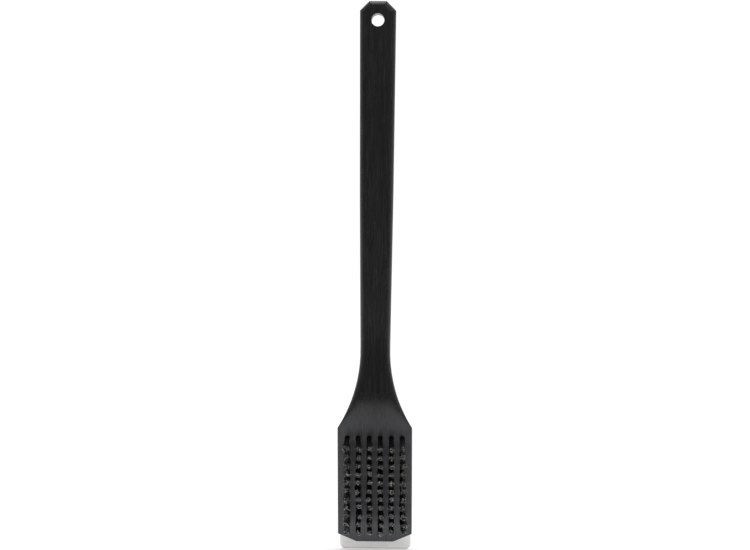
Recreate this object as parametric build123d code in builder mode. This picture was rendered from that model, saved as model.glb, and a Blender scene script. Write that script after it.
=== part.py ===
from build123d import *
from math import cos, radians, sin
import os

# Grill cleaning brush: a wooden handle and head in one piece, wire tufts in
# rows across the head, and a steel scraper plate screwed behind the nose.
# Origin: centre of the hanging hole.  +Z runs up the handle and -Y is the
# bristle side.  Sizes are in millimetres.

os.makedirs("parts", exist_ok=True)

# Wooden body
wood_thickness = 16.0
board_thickness = 60.0
handle_top_z = 16.5
handle_end_width = 30.6
handle_end_chamfer = 8.1
handle_middle_width = 28.4
handle_middle_z = -146.0
neck_width = 25.2
neck_z = -276.5
shoulder_z = -343.5
head_width = 63.0
grip_edge_radius = 6.5
head_edge_radius = 1.0
hanging_hole_radius = 5.5
hanging_hole_rim = 0.5

# The head is tilted back from the handle by a bend in the neck
head_tilt = 17.0
bend_top_z = -312.8
bend_radius = 51.0
head_length = 117.5
nose_chamfer_across = 15.8
nose_chamfer_along = 7.1

# Tufts
tuft_columns = 6
tuft_rows = 11
column_pitch = 9.3
row_pitch = 7.55
first_row_down = 23.0
tuft_hole_radius = 2.1
tuft_hole_depth = 11.0
tuft_root_radius = 2.05
tuft_tip_radius = 2.6
tuft_free_length = 26.5

# Flat anchors that the wires are folded over, near the bottoms of the holes
anchor_width = 4.8
anchor_height = 1.8
anchor_thickness = 0.4
anchor_lift = 1.0

# Scraper plate and its screws
scraper_width = 61.2
scraper_length = 35.0
scraper_thickness = 1.5
scraper_reach = 13.2
scraper_corner = 3.0
scraper_bevel = 0.7
screw_spacing = 32.0
screw_above_nose = 8.5
screw_clearance_radius = 1.9
screw_shank_radius = 1.75
screw_length = 12.0
screw_point_length = 3.0
screw_head_radius = 3.5
screw_head_height = 2.3
screw_head_round = 1.2
recess_width = 1.0
recess_length = 4.0
recess_depth = 1.3

# Planes of the head: the front face where the bend ends, its y axis pointing
# up the head, and the back face that the scraper plate lies on
tilt = radians(head_tilt)
front_bend_radius = bend_radius + wood_thickness / 2
head_face = Plane(
    origin=(
        0,
        bend_radius - front_bend_radius * cos(tilt),
        bend_top_z - front_bend_radius * sin(tilt),
    ),
    x_dir=(1, 0, 0),
    z_dir=(0, -cos(tilt), -sin(tilt)),
)
head_back = head_face.offset(-wood_thickness)

# Places on those planes
row_heights = [-first_row_down - row * row_pitch for row in range(tuft_rows)]
screw_height = -head_length + screw_above_nose
scraper_tip = -head_length - scraper_reach

# Wooden body
with BuildPart() as wooden_body:
    # Thick board cut to the outline seen from the bristle side
    with BuildSketch(Plane.XZ.offset(wood_thickness / 2)) as front_view:
        with BuildLine() as outline:
            handle_side = Polyline(
                (0, handle_top_z),
                (handle_end_width / 2 - handle_end_chamfer, handle_top_z),
                (handle_end_width / 2, handle_top_z - handle_end_chamfer),
                (handle_middle_width / 2, handle_middle_z),
                (neck_width / 2, neck_z),
            )
            flare_side = TangentArc(
                handle_side @ 1,
                (head_width / 2, shoulder_z),
                tangent=handle_side % 1,
            )
            Polyline(
                flare_side @ 1,
                (head_width / 2, 2 * shoulder_z),
                (0, 2 * shoulder_z),
            )
            mirror(about=Plane.YZ)
        make_face()
    extrude(amount=-board_thickness)
    board_front = wooden_body.faces().sort_by(Axis.Y)[0]
    fillet(board_front.edges(), grip_edge_radius)

    # Sawn and planed to the bent side view: the flat head takes away the
    # rounded front edges little by little, down to the shoulders
    with BuildSketch(Plane.YZ) as side_view:
        with BuildLine() as board_line:
            handle_line = Line((0, handle_top_z), (0, bend_top_z))
            bend_line = JernArc(handle_line @ 1, handle_line % 1, bend_radius, head_tilt)
            head_line = Line(bend_line @ 1, bend_line @ 1 + (bend_line % 1) * head_length)
        trace(line_width=wood_thickness)
    extrude(amount=head_width, both=True, mode=Mode.INTERSECT)

    # Nose corners, cut square to the head
    with BuildSketch(head_face) as nose_corners:
        with BuildLine() as corner_line:
            Polyline(
                (head_width / 2, -head_length),
                (head_width / 2, nose_chamfer_along - head_length),
                (head_width / 2 - nose_chamfer_across, -head_length),
                close=True,
            )
        make_face()
        mirror(about=Plane.YZ)
    extrude(amount=-wood_thickness, mode=Mode.SUBTRACT)

    # Round the back edges of the handle and flare like the front ones
    bend_seams = wooden_body.edges().filter_by(Axis.X)
    bend_seams = bend_seams.filter_by_position(Axis.Z, shoulder_z, bend_top_z)
    back_rims = wooden_body.edges().filter_by(Axis.Y, reverse=True) - bend_seams
    back_rims = back_rims.filter_by_position(Axis.Z, shoulder_z, handle_top_z)
    back_rims = back_rims.filter_by_position(Axis.Y, wood_thickness / 4, board_thickness)
    fillet(back_rims, grip_edge_radius)

    # Break the head's edges, all round its front face and along the nose behind
    front_rims = wooden_body.faces().filter_by(head_face).sort_by(Axis.Y)[0].edges()
    front_rims = front_rims.filter_by_position(Axis.Z, 2 * shoulder_z, shoulder_z)
    fillet(front_rims, head_edge_radius)
    rear_rims = wooden_body.faces().filter_by(head_face).sort_by(Axis.Y)[-1].edges()
    rear_rims = rear_rims.filter_by_position(Axis.Z, 2 * shoulder_z, shoulder_z)
    nose_rims = rear_rims.sort_by(SortBy.LENGTH)[:3]
    fillet(nose_rims, head_edge_radius)

    # Hanging hole with its two rims broken
    with BuildSketch(Plane.XZ) as hole_sketch:
        Circle(hanging_hole_radius)
    extrude(amount=wood_thickness, both=True, mode=Mode.SUBTRACT)
    hole_rims = wooden_body.edges().filter_by(GeomType.CIRCLE)
    hole_rims = hole_rims.filter_by(lambda rim: abs(rim.radius - hanging_hole_radius) < 0.01)
    chamfer(hole_rims, hanging_hole_rim)

    # Blind tuft holes, each with a slit that its anchor has cut into the wood
    with BuildSketch(head_face) as tuft_holes:
        with Locations((0, sum(row_heights) / tuft_rows)):
            with GridLocations(column_pitch, row_pitch, tuft_columns, tuft_rows):
                Circle(tuft_hole_radius)
    extrude(amount=-tuft_hole_depth, mode=Mode.SUBTRACT)
    with BuildSketch(head_face.offset(anchor_lift - tuft_hole_depth)) as anchor_slits:
        with Locations((0, sum(row_heights) / tuft_rows)):
            with GridLocations(column_pitch, row_pitch, tuft_columns, tuft_rows):
                Rectangle(anchor_width, anchor_thickness)
    extrude(amount=anchor_height, mode=Mode.SUBTRACT)

    # Screw holes in the back
    with BuildSketch(head_back) as screw_holes:
        with Locations((0, screw_height)):
            with GridLocations(screw_spacing, 1, 2, 1):
                Circle(screw_shank_radius)
    extrude(amount=screw_length - scraper_thickness, mode=Mode.SUBTRACT)
wooden_body.part.label = "wooden_body"
export_step(wooden_body.part, "parts/wooden_body.step")

# One tuft, its z axis along the hole and z = 0 at the face of the wood: a stem
# in the hole, folded round the anchor, and wires that spread towards the tips
with BuildPart() as tuft:
    with BuildSketch(Plane.XZ) as tuft_half:
        with BuildLine() as tuft_side:
            Polyline(
                (0, -tuft_hole_depth),
                (tuft_root_radius, -tuft_hole_depth),
                (tuft_root_radius, 0),
                (tuft_tip_radius, tuft_free_length),
                (0, tuft_free_length),
                close=True,
            )
        make_face()
    revolve(axis=Axis.Z)
    with BuildSketch(Plane.XY.offset(anchor_lift - tuft_hole_depth)) as fold:
        Rectangle(anchor_width, anchor_thickness)
    extrude(amount=anchor_height, mode=Mode.SUBTRACT)

# Rows of tufts and the rows of anchors that hold them
for row, row_height in enumerate(row_heights, start=1):
    with BuildPart() as bristle_row:
        with Locations(head_face):
            with Locations((0, row_height)):
                with GridLocations(column_pitch, row_pitch, tuft_columns, 1):
                    add(tuft.part)
    bristle_row.part.label = f"bristle_row_{row:02d}"
    export_step(bristle_row.part, f"parts/bristle_row_{row:02d}.step")

    with BuildPart() as anchor_row:
        with BuildSketch(head_face.offset(anchor_lift - tuft_hole_depth)) as anchors:
            with Locations((0, row_height)):
                with GridLocations(column_pitch, row_pitch, tuft_columns, 1):
                    Rectangle(anchor_width, anchor_thickness)
        extrude(amount=anchor_height)
    anchor_row.part.label = f"anchor_row_{row:02d}"
    export_step(anchor_row.part, f"parts/anchor_row_{row:02d}.step")

# Scraper plate against the back of the head, its front corners cut off
with BuildPart() as scraper_plate:
    with BuildSketch(head_back) as plate_outline:
        with Locations((0, scraper_tip + scraper_length / 2)):
            Rectangle(scraper_width, scraper_length)
        chamfer(plate_outline.vertices().group_by(Axis.Z)[0], scraper_corner)
        fillet(plate_outline.vertices().group_by(Axis.Z)[-1], scraper_corner)
        with Locations((0, screw_height)):
            with GridLocations(screw_spacing, 1, 2, 1):
                Circle(screw_clearance_radius, mode=Mode.SUBTRACT)
    extrude(amount=-scraper_thickness)
    tip_edge = scraper_plate.faces().filter_by(head_face).sort_by(Axis.Y)[0]
    chamfer(tip_edge.edges().sort_by(Axis.Z)[0], scraper_bevel)
scraper_plate.part.label = "scraper_plate"
export_step(scraper_plate.part, "parts/scraper_plate.step")

# Pan-head wood screws, drawn with the underside of the head at z = 0
with BuildPart() as screw:
    with BuildSketch(Plane.XZ) as screw_half:
        with BuildLine() as screw_side:
            Polyline(
                (0, -screw_length),
                (screw_shank_radius, screw_point_length - screw_length),
                (screw_shank_radius, 0),
                (screw_head_radius, 0),
                (screw_head_radius, screw_head_height),
                (0, screw_head_height),
                close=True,
            )
        make_face()
    revolve(axis=Axis.Z)
    fillet(screw.edges().group_by(Axis.Z)[-1], screw_head_round)
    with BuildSketch(Plane.XY.offset(screw_head_height)) as recess:
        Rectangle(recess_width, recess_length)
        Rectangle(recess_length, recess_width)
    extrude(amount=-recess_depth, mode=Mode.SUBTRACT)

# The screws stand on the back of the plate; this plane's y axis points down
plate_back = Plane(
    origin=head_back.offset(-scraper_thickness).origin,
    x_dir=(1, 0, 0),
    z_dir=-head_face.z_dir,
)
for side, name in ((-1, "scraper_screw_left"), (1, "scraper_screw_right")):
    with BuildPart() as scraper_screw:
        with Locations(plate_back):
            with Locations((side * screw_spacing / 2, -screw_height)):
                add(screw.part)
    scraper_screw.part.label = name
    export_step(scraper_screw.part, f"parts/{name}.step")
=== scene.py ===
import random
from math import cos, pi, radians, sin, sqrt

import bpy
from mathutils import Matrix, Vector


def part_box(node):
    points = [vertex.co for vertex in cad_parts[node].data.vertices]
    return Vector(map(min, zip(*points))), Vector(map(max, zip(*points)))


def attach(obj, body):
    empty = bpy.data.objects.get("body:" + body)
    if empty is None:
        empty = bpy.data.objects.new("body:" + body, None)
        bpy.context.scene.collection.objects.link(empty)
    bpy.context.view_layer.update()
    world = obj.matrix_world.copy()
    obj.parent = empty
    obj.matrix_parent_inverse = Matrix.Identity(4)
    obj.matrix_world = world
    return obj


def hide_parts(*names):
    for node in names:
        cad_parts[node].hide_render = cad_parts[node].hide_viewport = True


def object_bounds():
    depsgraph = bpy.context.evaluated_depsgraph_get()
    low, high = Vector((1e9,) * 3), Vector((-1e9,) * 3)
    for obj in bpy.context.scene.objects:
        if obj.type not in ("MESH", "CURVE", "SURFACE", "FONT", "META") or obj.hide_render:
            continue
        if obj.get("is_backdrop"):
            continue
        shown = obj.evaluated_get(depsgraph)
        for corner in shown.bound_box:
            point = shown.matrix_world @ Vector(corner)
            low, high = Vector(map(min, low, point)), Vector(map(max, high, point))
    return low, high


# Grill cleaning brush.  Metres, +Z up the handle, -Y the bristle side.
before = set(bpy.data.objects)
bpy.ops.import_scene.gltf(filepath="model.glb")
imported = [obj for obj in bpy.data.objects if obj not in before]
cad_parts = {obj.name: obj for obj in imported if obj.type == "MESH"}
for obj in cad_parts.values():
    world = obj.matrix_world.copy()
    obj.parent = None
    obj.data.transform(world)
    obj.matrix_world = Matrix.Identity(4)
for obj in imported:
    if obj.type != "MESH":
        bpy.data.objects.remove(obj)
cad_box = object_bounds()

MM = 0.001

# Sizes that the CAD model is built with
TUFT_COLUMNS = 6
TUFT_ROWS = 11
TUFT_HOLE_DEPTH = 11 * MM
ANCHOR_WIDTH = 4.8 * MM
BEND_TOP = -312.8 * MM
SHOULDER = -343.5 * MM

# Edges of the wood, rounded in its shading by WORN_EDGE, and by up to
# FLARE_EDGE between the shoulders and the top of the flare
FLARE_TOP = -318 * MM
FLARE_FADE = 8 * MM
WORN_EDGE = 0.7 * MM
FLARE_EDGE = 10 * MM

# Colours of the wood, with painted shade round the neck: the neck's heights are
# where the painted shade starts, is full, is still full and ends
DARK_STAIN = (0.0025, 0.0025, 0.0027, 1)
LIGHT_STAIN = (0.03, 0.0295, 0.0295, 1)
PORE_COLOUR = (0.0015, 0.0015, 0.0015, 1)
WORN_COLOUR = (0.06, 0.059, 0.057, 1)
NECK_SHADE_HEIGHTS = (-331 * MM, -320 * MM, -285 * MM, -255 * MM)

# Painted light on the head's front: a blue-grey lightening of the wood's colour on
# faces turned out like the head's front, stronger round the first tuft row, where the
# tufts shade the face.  Its heights are counted from the first tuft row, and it thins
# out towards the sides between the two edge distances
PAINTED_LIGHT_COLOUR = (0.033, 0.035, 0.0415, 1)
STRONG_PAINTED_LIGHT_COLOUR = (0.068, 0.07, 0.076, 1)
PAINTED_LIGHT_TOP = (20 * MM, 10 * MM)
STRONG_PAINTED_LIGHT_HEIGHTS = (-12 * MM, -1 * MM, 4 * MM, 14 * MM)
PAINTED_LIGHT_EDGE = (31 * MM, 25 * MM)
PAINTED_LIGHT_FACING = (0.9, 0.99)

# Colours of the metal pieces, each pair from dark to light
SCRAPER_COLOURS = ((0.74, 0.733, 0.722, 1), (0.96, 0.95, 0.937, 1))
SCRAPER_STAIN = (0.6, 0.588, 0.575, 1)
# Painted shade: the colour of the scraper's faces turned down, the ground bevel among them
SCRAPER_BEVEL_SHADE = (0.26, 0.255, 0.25, 1)
WIRE_COLOURS = ((0.045, 0.045, 0.048, 1), (0.1, 0.098, 0.095, 1))
RUBBED_WIRE = (0.24, 0.23, 0.22, 1)
CUT_END_COLOURS = ((0.02, 0.02, 0.02, 1), (0.62, 0.61, 0.595, 1))
ZINC_COLOURS = ((0.42, 0.42, 0.43, 1), (0.66, 0.66, 0.66, 1))
STRIP_COLOURS = ((0.3, 0.3, 0.3, 1), (0.5, 0.5, 0.49, 1))

# Wires of a tuft.  A tuft leans at random by about TUFT_LEAN round TUFT_SET,
# and each wire strays and is cut short by a random length of its own
FIRST_SEED = 100
WIRES_PER_TUFT = 68
WIRE_RADIUS = 0.19 * MM
WIRE_SIDES = 5
WIRE_STEPS = 13
ROOT_SPREAD = 1.88 * MM
TIP_SPREAD = 2.05 * MM
ROOT_DEPTH = 3 * MM
CRIMP_HEIGHT = 0.14 * MM
CRIMP_LENGTH = 5.2 * MM
TUFT_LEAN = 0.45 * MM
TUFT_SET = 1.0 * MM
WIRE_STRAY = 0.35 * MM
TRIM_ERROR = 0.6 * MM
SIDE_SPLAY = 0.9 * MM

# Studio: a lamp has a place counted from the brush's middle, a size and a
# power.  BACK_LIGHT and SKY_LIGHT are how the world brightens towards the back
# and above the horizon: from and to a direction, from and to a level.  The
# floor ends a little in front of the brush, so that the handle doesn't mirror it
OVERHEAD_LAMP = (Vector((0.0, 0.35, 1.6)), 1.6, 12)
KEY_LAMP = (Vector((0.8, -0.7, 1.3)), 0.6, 0.8)
BACK_LIGHT = (-0.2, 0.9, 1.0, 2.2)
SKY_LIGHT = (-0.12, 0.02, 0.14, 0.29)
BACKDROP_LEVEL = 1.05
FLOOR_CORNERS = ((-30, -0.33), (30, -0.33), (30, 120), (-30, 120))
FLOOR_WHITE = (0.85, 0.85, 0.85, 1)
FLOOR_GLOW = 0.46
FLOOR_GLOW_FAR = 0.76
FLOOR_GLOW_UNDER = 0.6
FLOOR_GLOW_REACH = (0.45, 2.2)
UNDER_DEPTHS = (-0.15, -0.08, 0.0, 0.035)
UNDER_WIDTH = (0.5, 0.25)

# Camera: level, on the middle of the brush's height, with the brush turned
# and leaning very slightly in front of it
CAMERA_PLACE = Vector((-2.6 * MM, -2.0, -214.3 * MM))
CAMERA_LENS = 113.9
BRUSH_TURN = radians(1.6)
BRUSH_LEAN = radians(0.47)


# ---------------------------------------------------------------- the frame

def centre(node):
    low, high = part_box(node)
    return (low + high) / 2


def reach(node, direction):
    """How far a CAD node goes along a direction, counted from the origin."""
    return max(corner.co.dot(direction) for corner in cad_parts[node].data.vertices)


def bristle_row(row):
    return f"bristle_row_{row:02d}"


def anchor_row(row):
    return f"anchor_row_{row:02d}"


SIDEWAYS = Vector((1, 0, 0))
HEAD_DOWN = (centre(anchor_row(TUFT_ROWS)) - centre(anchor_row(1))).normalized()
HEAD_OUT = Vector((0, HEAD_DOWN.z, -HEAD_DOWN.y))
FACE_LEVEL = TUFT_HOLE_DEPTH - reach(bristle_row(1), -HEAD_OUT)
FREE_LENGTH = reach(bristle_row(1), HEAD_OUT) - FACE_LEVEL
FIRST_ROW_HEIGHT = centre(anchor_row(1)).z


# ------------------------------------------------------------ shader helpers

def new_material(name, constants):
    """A material, its node tree and its shader, with some sockets set."""
    material = bpy.data.materials.new(name)
    material.use_nodes = True
    shader = material.node_tree.nodes["Principled BSDF"]
    for socket, value in constants.items():
        shader.inputs[socket].default_value = value
    return material, material.node_tree, shader


def add(tree, kind, inputs=None, **settings):
    """Adds a node; each input is a number, a vector or another node's output."""
    node = tree.nodes.new("ShaderNode" + kind)
    for name, value in settings.items():
        setattr(node, name, value)
    for socket, value in (inputs or {}).items():
        if isinstance(value, bpy.types.NodeSocket):
            tree.links.new(value, node.inputs[socket])
        else:
            node.inputs[socket].default_value = value
    return node


def math(tree, operation, first, second=0.0):
    """Arithmetic on node outputs or numbers."""
    return add(tree, "Math", {0: first, 1: second}, operation=operation).outputs[0]


def spread(tree, value, low, high, to_low=0.0, to_high=1.0, smooth=False):
    """Maps low..high to to_low..to_high, and holds the end values outside."""
    kind = "SMOOTHSTEP" if smooth else "LINEAR"
    inputs = {"Value": value, "From Min": low, "From Max": high,
              "To Min": to_low, "To Max": to_high}
    return add(tree, "MapRange", inputs, interpolation_type=kind).outputs["Result"]


def band(tree, value, start, full, still_full, end):
    """Rises smoothly from start to full and falls again from still_full to end."""
    rise = spread(tree, value, start, full, smooth=True)
    return math(tree, "MULTIPLY", rise, spread(tree, value, end, still_full, smooth=True))


def object_axes(tree):
    """The X, Y and Z of a place in the shared frame, in metres."""
    return add(tree, "SeparateXYZ", {0: add(tree, "TexCoord").outputs["Object"]}).outputs


def colour_mix(tree, factor, first, second):
    """From the first colour at 0 to the second at 1."""
    inputs = {0: factor, 6: first, 7: second}
    return add(tree, "Mix", inputs, data_type="RGBA").outputs[2]


def stretched(tree, vector, scale):
    """Scales each axis of a vector."""
    return add(tree, "VectorMath", {0: vector, 1: scale}, operation="MULTIPLY").outputs[0]


def noise(tree, vector, scale, detail=2.0, roughness=0.5):
    """Noise with a cell of 1 / scale along each axis of the vector."""
    inputs = {"Vector": stretched(tree, vector, scale), "Scale": 1.0,
              "Detail": detail, "Roughness": roughness}
    return add(tree, "TexNoise", inputs).outputs["Fac"]


def millimetres(tree):
    place = add(tree, "TexCoord").outputs["Object"]
    return stretched(tree, place, (1 / MM, 1 / MM, 1 / MM))


def bump(tree, shader, height, depth, strength, normal=None):
    """Links a bump to the shader, on top of another normal if there is one."""
    inputs = {"Height": height, "Distance": depth, "Strength": strength}
    if normal is not None:
        inputs["Normal"] = normal
    normal = add(tree, "Bump", inputs).outputs["Normal"]
    tree.links.new(normal, shader.inputs["Normal"])


# ----------------------------------------------------------------- materials

def along_the_board(tree):
    """Millimetres with the neck's bend straightened, so that the grain follows it."""
    axes = add(tree, "SeparateXYZ", {0: millimetres(tree)})
    below_bend = math(tree, "SUBTRACT", BEND_TOP / MM, axes.outputs["Z"])
    below_bend = math(tree, "MAXIMUM", below_bend)
    slope = -HEAD_DOWN.y / HEAD_DOWN.z
    set_back = math(tree, "MULTIPLY", below_bend, slope)
    depth = math(tree, "SUBTRACT", axes.outputs["Y"], set_back)
    inputs = {"X": axes.outputs["X"], "Y": depth, "Z": axes.outputs["Z"]}
    return add(tree, "CombineXYZ", inputs).outputs[0]


def edge_rounding(tree):
    """Radius of the worn edges, widest along the flare and small again at the shoulders."""
    height = object_axes(tree)["Z"]
    full = FLARE_TOP - FLARE_FADE
    above = spread(tree, height, full, FLARE_TOP, 1.0, 0.0, smooth=True)
    below = spread(tree, height, SHOULDER - 2 * MM, full)
    flare = math(tree, "MULTIPLY", above, below)
    return spread(tree, flare, 0.0, 1.0, WORN_EDGE, FLARE_EDGE)


def painted_face_light(tree, fibres):
    """How strong the painted light is, on the front of the head only, patchy along the grain's
    fibres.
    """
    normal = add(tree, "TexCoord").outputs["Normal"]
    front = add(tree, "VectorMath", {0: normal, 1: HEAD_OUT}, operation="DOT_PRODUCT")
    painted_light = spread(tree, front.outputs["Value"], *PAINTED_LIGHT_FACING)
    axes = object_axes(tree)
    top_start, top_full = (FIRST_ROW_HEIGHT + height for height in PAINTED_LIGHT_TOP)
    below = spread(tree, axes["Z"], top_start, top_full, smooth=True)
    painted_light = math(tree, "MULTIPLY", painted_light, below)
    aside = math(tree, "ABSOLUTE", axes["X"])
    inward = spread(tree, aside, *PAINTED_LIGHT_EDGE, 0.3, 1.0, smooth=True)
    painted_light = math(tree, "MULTIPLY", painted_light, inward)
    return math(tree, "MULTIPLY", painted_light, spread(tree, fibres, 0.3, 0.65, 0.55, 1.0))


def painted_light_colour(tree):
    """The colour of the painted light, lighter round the first tufts, where the tufts shade
    the face.
    """
    heights = (FIRST_ROW_HEIGHT + height for height in STRONG_PAINTED_LIGHT_HEIGHTS)
    stronger = band(tree, object_axes(tree)["Z"], *heights)
    return colour_mix(tree, stronger, PAINTED_LIGHT_COLOUR, STRONG_PAINTED_LIGHT_COLOUR)


def stained_wood():
    """Black-stained wood with its grain, open pores and worn streaks, painted shade round the
    neck and painted light on the head's front.
    """
    material, tree, shader = new_material("black_stained_wood", {"IOR": 1.5})
    board = along_the_board(tree)
    figure = noise(tree, board, (0.15, 0.15, 0.006), detail=3)
    streaks = noise(tree, board, (1.1, 1.1, 0.03), detail=4, roughness=0.6)
    fibres = noise(tree, board, (3.0, 3.0, 0.09), detail=3, roughness=0.6)
    pores = spread(tree, noise(tree, board, (2.6, 2.6, 0.12), detail=1), 0.6, 0.68)
    worn = spread(tree, noise(tree, board, (2.2, 2.2, 0.06), detail=1), 0.6, 0.7)
    # Where the painted shade round the neck lies
    neck = band(tree, object_axes(tree)["Z"], *NECK_SHADE_HEIGHTS)

    tone = math(tree, "MULTIPLY", figure, 0.3)
    tone = math(tree, "ADD", tone, math(tree, "MULTIPLY", streaks, 0.4))
    tone = math(tree, "ADD", tone, math(tree, "MULTIPLY", fibres, 0.3))
    tone = spread(tree, tone, 0.4, 0.62)
    # Painted shade: the wood's colour is darkened round the neck
    tone = math(tree, "MULTIPLY", tone, spread(tree, neck, 0.0, 1.0, 1.0, 0.3))
    stain = colour_mix(tree, tone, DARK_STAIN, LIGHT_STAIN)
    stain = colour_mix(tree, math(tree, "MULTIPLY", pores, 0.8), stain, PORE_COLOUR)
    # The worn streaks are weakened everywhere, and weakened further in the painted shade round
    # the neck
    worn = math(tree, "MULTIPLY", worn, spread(tree, neck, 0.0, 1.0, 0.5, 0.2))
    stain = colour_mix(tree, worn, stain, WORN_COLOUR)
    # Painted light on the head's front, laid over the wood's colour
    stain = colour_mix(tree, painted_face_light(tree, fibres), stain, painted_light_colour(tree))
    tree.links.new(stain, shader.inputs["Base Color"])
    tree.links.new(spread(tree, streaks, 0.35, 0.65, 0.24, 0.36), shader.inputs["Roughness"])

    relief = math(tree, "MULTIPLY", fibres, 0.5)
    relief = math(tree, "ADD", relief, math(tree, "MULTIPLY", streaks, 0.5))
    relief = math(tree, "SUBTRACT", relief, math(tree, "MULTIPLY", pores, 0.4))
    rounded = add(tree, "Bevel", {"Radius": edge_rounding(tree)}, samples=6)
    bump(tree, shader, relief, 0.15 * MM, 0.7, rounded.outputs["Normal"])
    return material


def brushed_steel():
    """Stainless sheet, brushed across its width, with painted shade on the ground bevel below
    and on its other faces turned down.
    """
    material, tree, shader = new_material("brushed_stainless", {"Metallic": 1.0})
    place = millimetres(tree)
    bands = noise(tree, place, (0.012, 0.5, 0.5), detail=3)
    brushing = noise(tree, place, (0.06, 9.0, 9.0), detail=3, roughness=0.65)
    stains = noise(tree, place, (0.06, 0.06, 0.06), detail=4)
    tone = math(tree, "MULTIPLY", bands, 0.6)
    tone = math(tree, "ADD", tone, math(tree, "MULTIPLY", brushing, 0.4))
    steel = colour_mix(tree, tone, *SCRAPER_COLOURS)
    stained = spread(tree, stains, 0.5, 0.75, 0.0, 0.25)
    steel = colour_mix(tree, stained, steel, SCRAPER_STAIN)
    # Painted shade on faces turned down, the ground bevel below among them
    normal = add(tree, "SeparateXYZ", {0: add(tree, "TexCoord").outputs["Normal"]})
    bevel = spread(tree, normal.outputs["Z"], -0.5, -0.75)
    steel = colour_mix(tree, bevel, steel, SCRAPER_BEVEL_SHADE)
    tree.links.new(steel, shader.inputs["Base Color"])
    tree.links.new(spread(tree, brushing, 0.3, 0.7, 0.3, 0.45), shader.inputs["Roughness"])
    bump(tree, shader, brushing, 0.02 * MM, 0.5)
    return material


def bristle_wire():
    """Dark tempered steel wire, a little lighter where it has been rubbed."""
    material, tree, shader = new_material("tempered_wire", {"Metallic": 1.0})
    place = millimetres(tree)
    tint = noise(tree, place, (1.6, 0.25, 1.6), detail=2)
    rubbed = noise(tree, place, (3.0, 1.0, 3.0), detail=3)
    wire = colour_mix(tree, spread(tree, tint, 0.35, 0.65), *WIRE_COLOURS)
    wire = colour_mix(tree, spread(tree, rubbed, 0.6, 0.7), wire, RUBBED_WIRE)
    tree.links.new(wire, shader.inputs["Base Color"])
    tree.links.new(spread(tree, rubbed, 0.3, 0.7, 0.42, 0.3), shader.inputs["Roughness"])
    return material


def cut_wire():
    """The wires' cut ends: some bright, most of them dulled."""
    material, tree, shader = new_material("cut_wire", {"Metallic": 1.0, "Roughness": 0.45})
    patches = noise(tree, millimetres(tree), (1.6, 1.6, 1.6), detail=1)
    polish = spread(tree, patches, 0.52, 0.6)
    end = colour_mix(tree, polish, *CUT_END_COLOURS)
    tree.links.new(end, shader.inputs["Base Color"])
    return material


def plated_steel(name, colours, roughness):
    """Small plated or rolled parts with fine mottling and scratches."""
    material, tree, shader = new_material(name, {"Metallic": 1.0})
    place = millimetres(tree)
    mottle = noise(tree, place, (0.7, 0.7, 0.7), detail=4, roughness=0.6)
    scratches = noise(tree, place, (0.5, 7.0, 3.0), detail=2)
    tone = math(tree, "MULTIPLY", mottle, 0.7)
    tone = math(tree, "ADD", tone, math(tree, "MULTIPLY", scratches, 0.3))
    tree.links.new(colour_mix(tree, tone, *colours), shader.inputs["Base Color"])
    rough = spread(tree, mottle, 0.3, 0.7, roughness - 0.08, roughness + 0.08)
    tree.links.new(rough, shader.inputs["Roughness"])
    bump(tree, shader, scratches, 0.02 * MM, 0.4)
    return material


# -------------------------------------------------------------------- wires

def tuft_foot(row, column):
    """Where a tuft's axis meets the face of the wood."""
    low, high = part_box(anchor_row(row))
    middle = centre(anchor_row(row))
    width = high.x - low.x - ANCHOR_WIDTH
    x = low.x + ANCHOR_WIDTH / 2 + width * column / (TUFT_COLUMNS - 1)
    foot = Vector((x, middle.y, middle.z))
    return foot + HEAD_OUT * (FACE_LEVEL - foot.dot(HEAD_OUT))


def wire_line(foot, index, lean, stray, draw):
    """Centre line of one crimped wire, from inside its hole to its cut end."""
    turn = index * pi * (3 - sqrt(5)) + draw.gauss(0, 0.25)
    ring = sqrt((index + 0.5) / WIRES_PER_TUFT)
    start = Vector((cos(turn), sin(turn))) * ROOT_SPREAD * ring
    end = Vector((cos(turn), sin(turn))) * TIP_SPREAD * ring + lean
    end += Vector((draw.gauss(0, stray), draw.gauss(0, stray)))
    length = FREE_LENGTH - abs(draw.gauss(0, TRIM_ERROR))
    crimp_turn = draw.uniform(0, 2 * pi)
    crimp_start = draw.uniform(0, 2 * pi)
    line = []
    for step in range(WIRE_STEPS):
        height = -ROOT_DEPTH + (length + ROOT_DEPTH) * step / (WIRE_STEPS - 1)
        part = max(height, 0.0) / length
        offset = start.lerp(end, part ** 1.4)
        crimp = CRIMP_HEIGHT * sin(2 * pi * height / CRIMP_LENGTH + crimp_start)
        crimp *= min(1.0, part * 4)
        offset += Vector((cos(crimp_turn), sin(crimp_turn))) * crimp
        line.append(foot + SIDEWAYS * offset.x + HEAD_DOWN * offset.y + HEAD_OUT * height)
    return line


def add_wire(points, faces, ends, line):
    """Adds a thin closed tube round a line."""
    first = len(points)
    for place in line:
        for side in range(WIRE_SIDES):
            turn = 2 * pi * side / WIRE_SIDES
            points.append(place + (SIDEWAYS * cos(turn) + HEAD_DOWN * sin(turn)) * WIRE_RADIUS)
    for step in range(len(line) - 1):
        for side in range(WIRE_SIDES):
            here = first + step * WIRE_SIDES + side
            beside = first + step * WIRE_SIDES + (side + 1) % WIRE_SIDES
            faces.append((here, here + WIRE_SIDES, beside + WIRE_SIDES, beside))
    last = first + (len(line) - 1) * WIRE_SIDES
    faces.append(tuple(range(first, first + WIRE_SIDES)))
    ends.append(len(faces))
    faces.append(tuple(reversed(range(last, last + WIRE_SIDES))))


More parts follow.
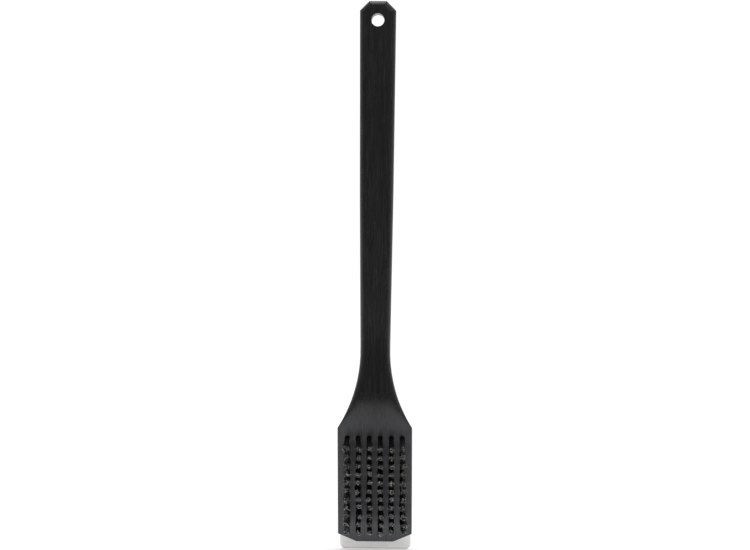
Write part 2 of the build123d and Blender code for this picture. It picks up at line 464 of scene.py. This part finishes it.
def wire_row(row, side_material, end_material):
    """One row of tufts, wire by wire."""
    draw = random.Random(FIRST_SEED + row)
    points, faces, ends = [], [], []
    for column in range(TUFT_COLUMNS):
        foot = tuft_foot(row, column)
        outward = (column / (TUFT_COLUMNS - 1) - 0.5) * 2
        lean = Vector((draw.gauss(TUFT_SET, TUFT_LEAN), draw.gauss(0, TUFT_LEAN)))
        lean.x += SIDE_SPLAY * outward ** 5
        stray = WIRE_STRAY * (1 + 1.5 * outward ** 6)
        for index in range(WIRES_PER_TUFT):
            add_wire(points, faces, ends, wire_line(foot, index, lean, stray, draw))
    mesh = bpy.data.meshes.new(f"wires_{row:02d}")
    mesh.from_pydata(points, [], faces)
    mesh.materials.append(side_material)
    mesh.materials.append(end_material)
    mesh.polygons.foreach_set("use_smooth", [len(face) == 4 for face in faces])
    for index in ends:
        mesh.polygons[index].material_index = 1
    mesh.update()
    piece = bpy.data.objects.new(f"wire_tufts_{row:02d}", mesh)
    bpy.context.scene.collection.objects.link(piece)
    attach(piece, "root")
    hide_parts(bristle_row(row))


# -------------------------------------------------------------------- studio

def studio_world():
    """White where the camera looks past the brush, and soft grey light all round."""
    world = bpy.data.worlds.new("studio")
    bpy.context.scene.world = world
    world.use_nodes = True
    tree = world.node_tree
    tree.nodes.clear()
    direction = add(tree, "SeparateXYZ", {0: add(tree, "TexCoord").outputs["Generated"]})
    behind = spread(tree, direction.outputs["Y"], *BACK_LIGHT, smooth=True)
    above = spread(tree, direction.outputs["Z"], *SKY_LIGHT, smooth=True)
    level = math(tree, "MULTIPLY", behind, above)
    light = add(tree, "Background", {"Color": (1, 1, 1, 1), "Strength": level})
    backdrop = add(tree, "Background", {"Color": (1, 1, 1, 1), "Strength": BACKDROP_LEVEL})
    seen = add(tree, "LightPath").outputs["Is Camera Ray"]
    mixed = add(tree, "MixShader", {0: seen, 1: light.outputs[0], 2: backdrop.outputs[0]})
    output = add(tree, "OutputWorld")
    tree.links.new(mixed.outputs[0], output.inputs["Surface"])


def area_light(name, target, offset, size, power):
    """A round lamp at an offset from its target, turned towards it."""
    light = bpy.data.lights.new(name, "AREA")
    light.shape = "DISK"
    light.size = size
    light.energy = power
    lamp = bpy.data.objects.new(name, light)
    lamp.location = target + offset
    lamp.rotation_mode = "QUATERNION"
    lamp.rotation_quaternion = (-offset).to_track_quat("-Z", "Y")
    bpy.context.scene.collection.objects.link(lamp)


def floor():
    """An evenly white table, which glows more where the lamps' light fades.

    The stretch below the bristles glows most, and lights the head from below.
    """
    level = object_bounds()[0].z
    corners = [(x, y, level) for x, y in FLOOR_CORNERS]
    mesh = bpy.data.meshes.new("floor")
    mesh.from_pydata(corners, [], [(0, 1, 2, 3)])
    material, tree, shader = new_material("lit_floor", {"Roughness": 0.9})
    shader.inputs["Base Color"].default_value = FLOOR_WHITE
    shader.inputs["Emission Color"].default_value = (1, 1, 1, 1)
    place = add(tree, "TexCoord").outputs["Object"]
    distance = add(tree, "VectorMath", {0: place}, operation="LENGTH").outputs["Value"]
    glow = spread(tree, distance, *FLOOR_GLOW_REACH, FLOOR_GLOW, FLOOR_GLOW_FAR, smooth=True)
    axes = object_axes(tree)
    aside = math(tree, "ABSOLUTE", axes["X"])
    under = math(tree, "MULTIPLY", band(tree, axes["Y"], *UNDER_DEPTHS),
                 spread(tree, aside, *UNDER_WIDTH, smooth=True))
    glow = math(tree, "ADD", glow, math(tree, "MULTIPLY", under, FLOOR_GLOW_UNDER))
    tree.links.new(glow, shader.inputs["Emission Strength"])
    mesh.materials.append(material)
    piece = bpy.data.objects.new("floor", mesh)
    bpy.context.scene.collection.objects.link(piece)
    piece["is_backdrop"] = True


def camera():
    """A camera turned round the brush the other way, which looks like a turned brush."""
    data = bpy.data.cameras.new("camera")
    data.lens = CAMERA_LENS
    data.clip_end = 50
    piece = bpy.data.objects.new("camera", data)
    turn = Matrix.Rotation(BRUSH_LEAN, 4, "Y") @ Matrix.Rotation(-BRUSH_TURN, 4, "Z")
    level_camera = Matrix.Translation(CAMERA_PLACE) @ Matrix.Rotation(pi / 2, 4, "X")
    piece.matrix_world = turn.inverted() @ level_camera
    bpy.context.scene.collection.objects.link(piece)
    bpy.context.scene.camera = piece


# ------------------------------------------------------------------ assembly

def dress(node, material):
    """Gives a CAD node its finished material."""
    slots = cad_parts[node].data.materials
    slots.clear()
    slots.append(material)


dress("wooden_body", stained_wood())
dress("scraper_plate", brushed_steel())
zinc = plated_steel("zinc_plated", ZINC_COLOURS, 0.34)
dress("scraper_screw_left", zinc)
dress("scraper_screw_right", zinc)
strip = plated_steel("rolled_strip", STRIP_COLOURS, 0.4)
wire, wire_end = bristle_wire(), cut_wire()
for row in range(1, TUFT_ROWS + 1):
    dress(anchor_row(row), strip)
    wire_row(row, wire, wire_end)

studio_world()
floor()
middle = (cad_box[0] + cad_box[1]) / 2
area_light("overhead", middle, *OVERHEAD_LAMP)
area_light("key", middle, *KEY_LAMP)
camera()
bpy.context.scene.view_settings.view_transform = "Standard"
